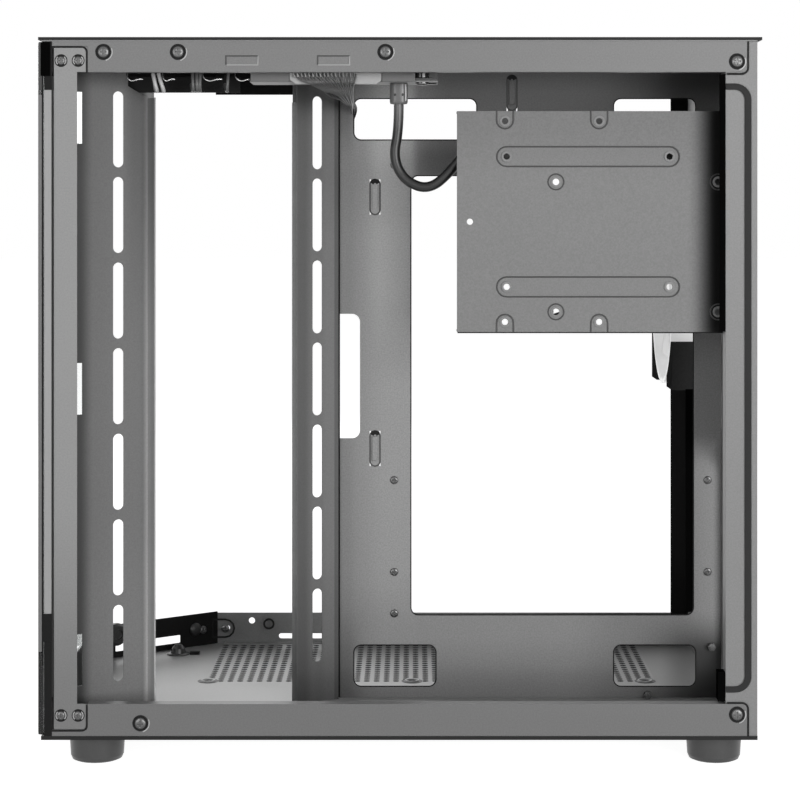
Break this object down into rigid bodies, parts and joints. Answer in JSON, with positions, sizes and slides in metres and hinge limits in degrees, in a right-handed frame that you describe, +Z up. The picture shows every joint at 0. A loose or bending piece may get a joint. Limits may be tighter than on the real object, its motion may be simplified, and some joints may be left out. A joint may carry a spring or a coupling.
{
  "type": "computer case",
  "caption": "Open dual-chamber tower case: folded grey steel frame with slotted fan strips, tray, drive plate, rear fan, control panel and rubber feet.",
  "frame": {"origin": "centre of the bounding box at the ground, under the feet", "axes": "+X towards the rear, +Z up, -Y the open cable side that the picture sees"},
  "size_m": [0.4186, 0.2816, 0.4239],
  "materials": {
    "frame_paint": "fine-textured satin grey powder coat",
    "dark_paint": "satin black powder coat",
    "tempered_glass": "clear tempered glass with a black printed border",
    "black_plastic": "moulded black plastic",
    "fan_blades": "milky translucent plastic",
    "foot_rubber": "smooth dark rubber",
    "screw_steel": "plated steel",
    "socket_shell": "plated socket shells",
    "circuit_board": "solder mask",
    "cable_jacket": "soft cable jacket"
  },
  "bodies": {
    "case": {"audio_jack": "black_plastic", "bottom_dust_filter": "black_plastic", "button_bracket": "frame_paint", "cable_plug": "black_plastic", "cable_relief": "cable_jacket", "control_board": "circuit_board", "control_shelf": "frame_paint", "corner_magnet": "screw_steel", "corner_stud": "black_plastic", "drive_plate": "frame_paint", "fan_screws": "screw_steel", "fan_strip_front": "frame_paint", "fan_strip_rear": "frame_paint", "far_rear_post": "dark_paint", "floor_panel": "frame_paint", "foot_1": "foot_rubber", "foot_2": "foot_rubber", "foot_3": "foot_rubber", "foot_4": "foot_rubber", "front_glass": "tempered_glass", "front_post": "frame_paint", "glass_block_high": "dark_paint", "glass_block_low": "dark_paint", "glass_edge_strip": "frame_paint", "lower_corner_rail": "dark_paint", "lower_front_rail": "frame_paint", "lower_glass_rail": "frame_paint", "lower_side_rail": "frame_paint", "motherboard_tray": "frame_paint", "panel_wires": "cable_jacket", "post_screws": "screw_steel", "power_switch": "black_plastic", "rail_screws": "screw_steel", "rear_fan_frame": "black_plastic", "rear_panel": "frame_paint", "reset_switch": "black_plastic", "roof_panel": "frame_paint", "slot_cover_1": "frame_paint", "slot_cover_2": "frame_paint", "slot_cover_3": "frame_paint", "slot_cover_4": "frame_paint", "slot_cover_5": "frame_paint", "slot_cover_6": "frame_paint", "slot_cover_7": "frame_paint", "slot_shelf": "frame_paint", "top_cover": "frame_paint", "tray_screws": "screw_steel", "type_c_socket": "socket_shell", "upper_corner_rail": "dark_paint", "upper_front_rail": "frame_paint", "upper_glass_rail": "frame_paint", "upper_side_rail": "frame_paint", "usb_cable": "cable_jacket", "usb_socket_1": "socket_shell", "usb_socket_2": "socket_shell", "wires_plug": "black_plastic"},
    "impeller": {"rear_fan_impeller": "fan_blades"},
    "power_button": {"power_button": "black_plastic"},
    "reset_button": {"reset_button": "black_plastic"}
  },
  "joints": [
    {"name": "fan_spin", "type": "hinge", "parent": "case", "child": "impeller", "pos_m": [0.1873, 0.0715, 0.267], "axis": [1, 0, 0], "continuous": true},
    {"name": "power_press", "type": "slide", "parent": "case", "child": "power_button", "axis": [0, 0, 1], "range_m": [-0.0015, 0], "stiffness_N_per_m": 300},
    {"name": "reset_press", "type": "slide", "parent": "case", "child": "reset_button", "axis": [0, 0, 1], "range_m": [-0.0015, 0], "stiffness_N_per_m": 300}
  ]
}
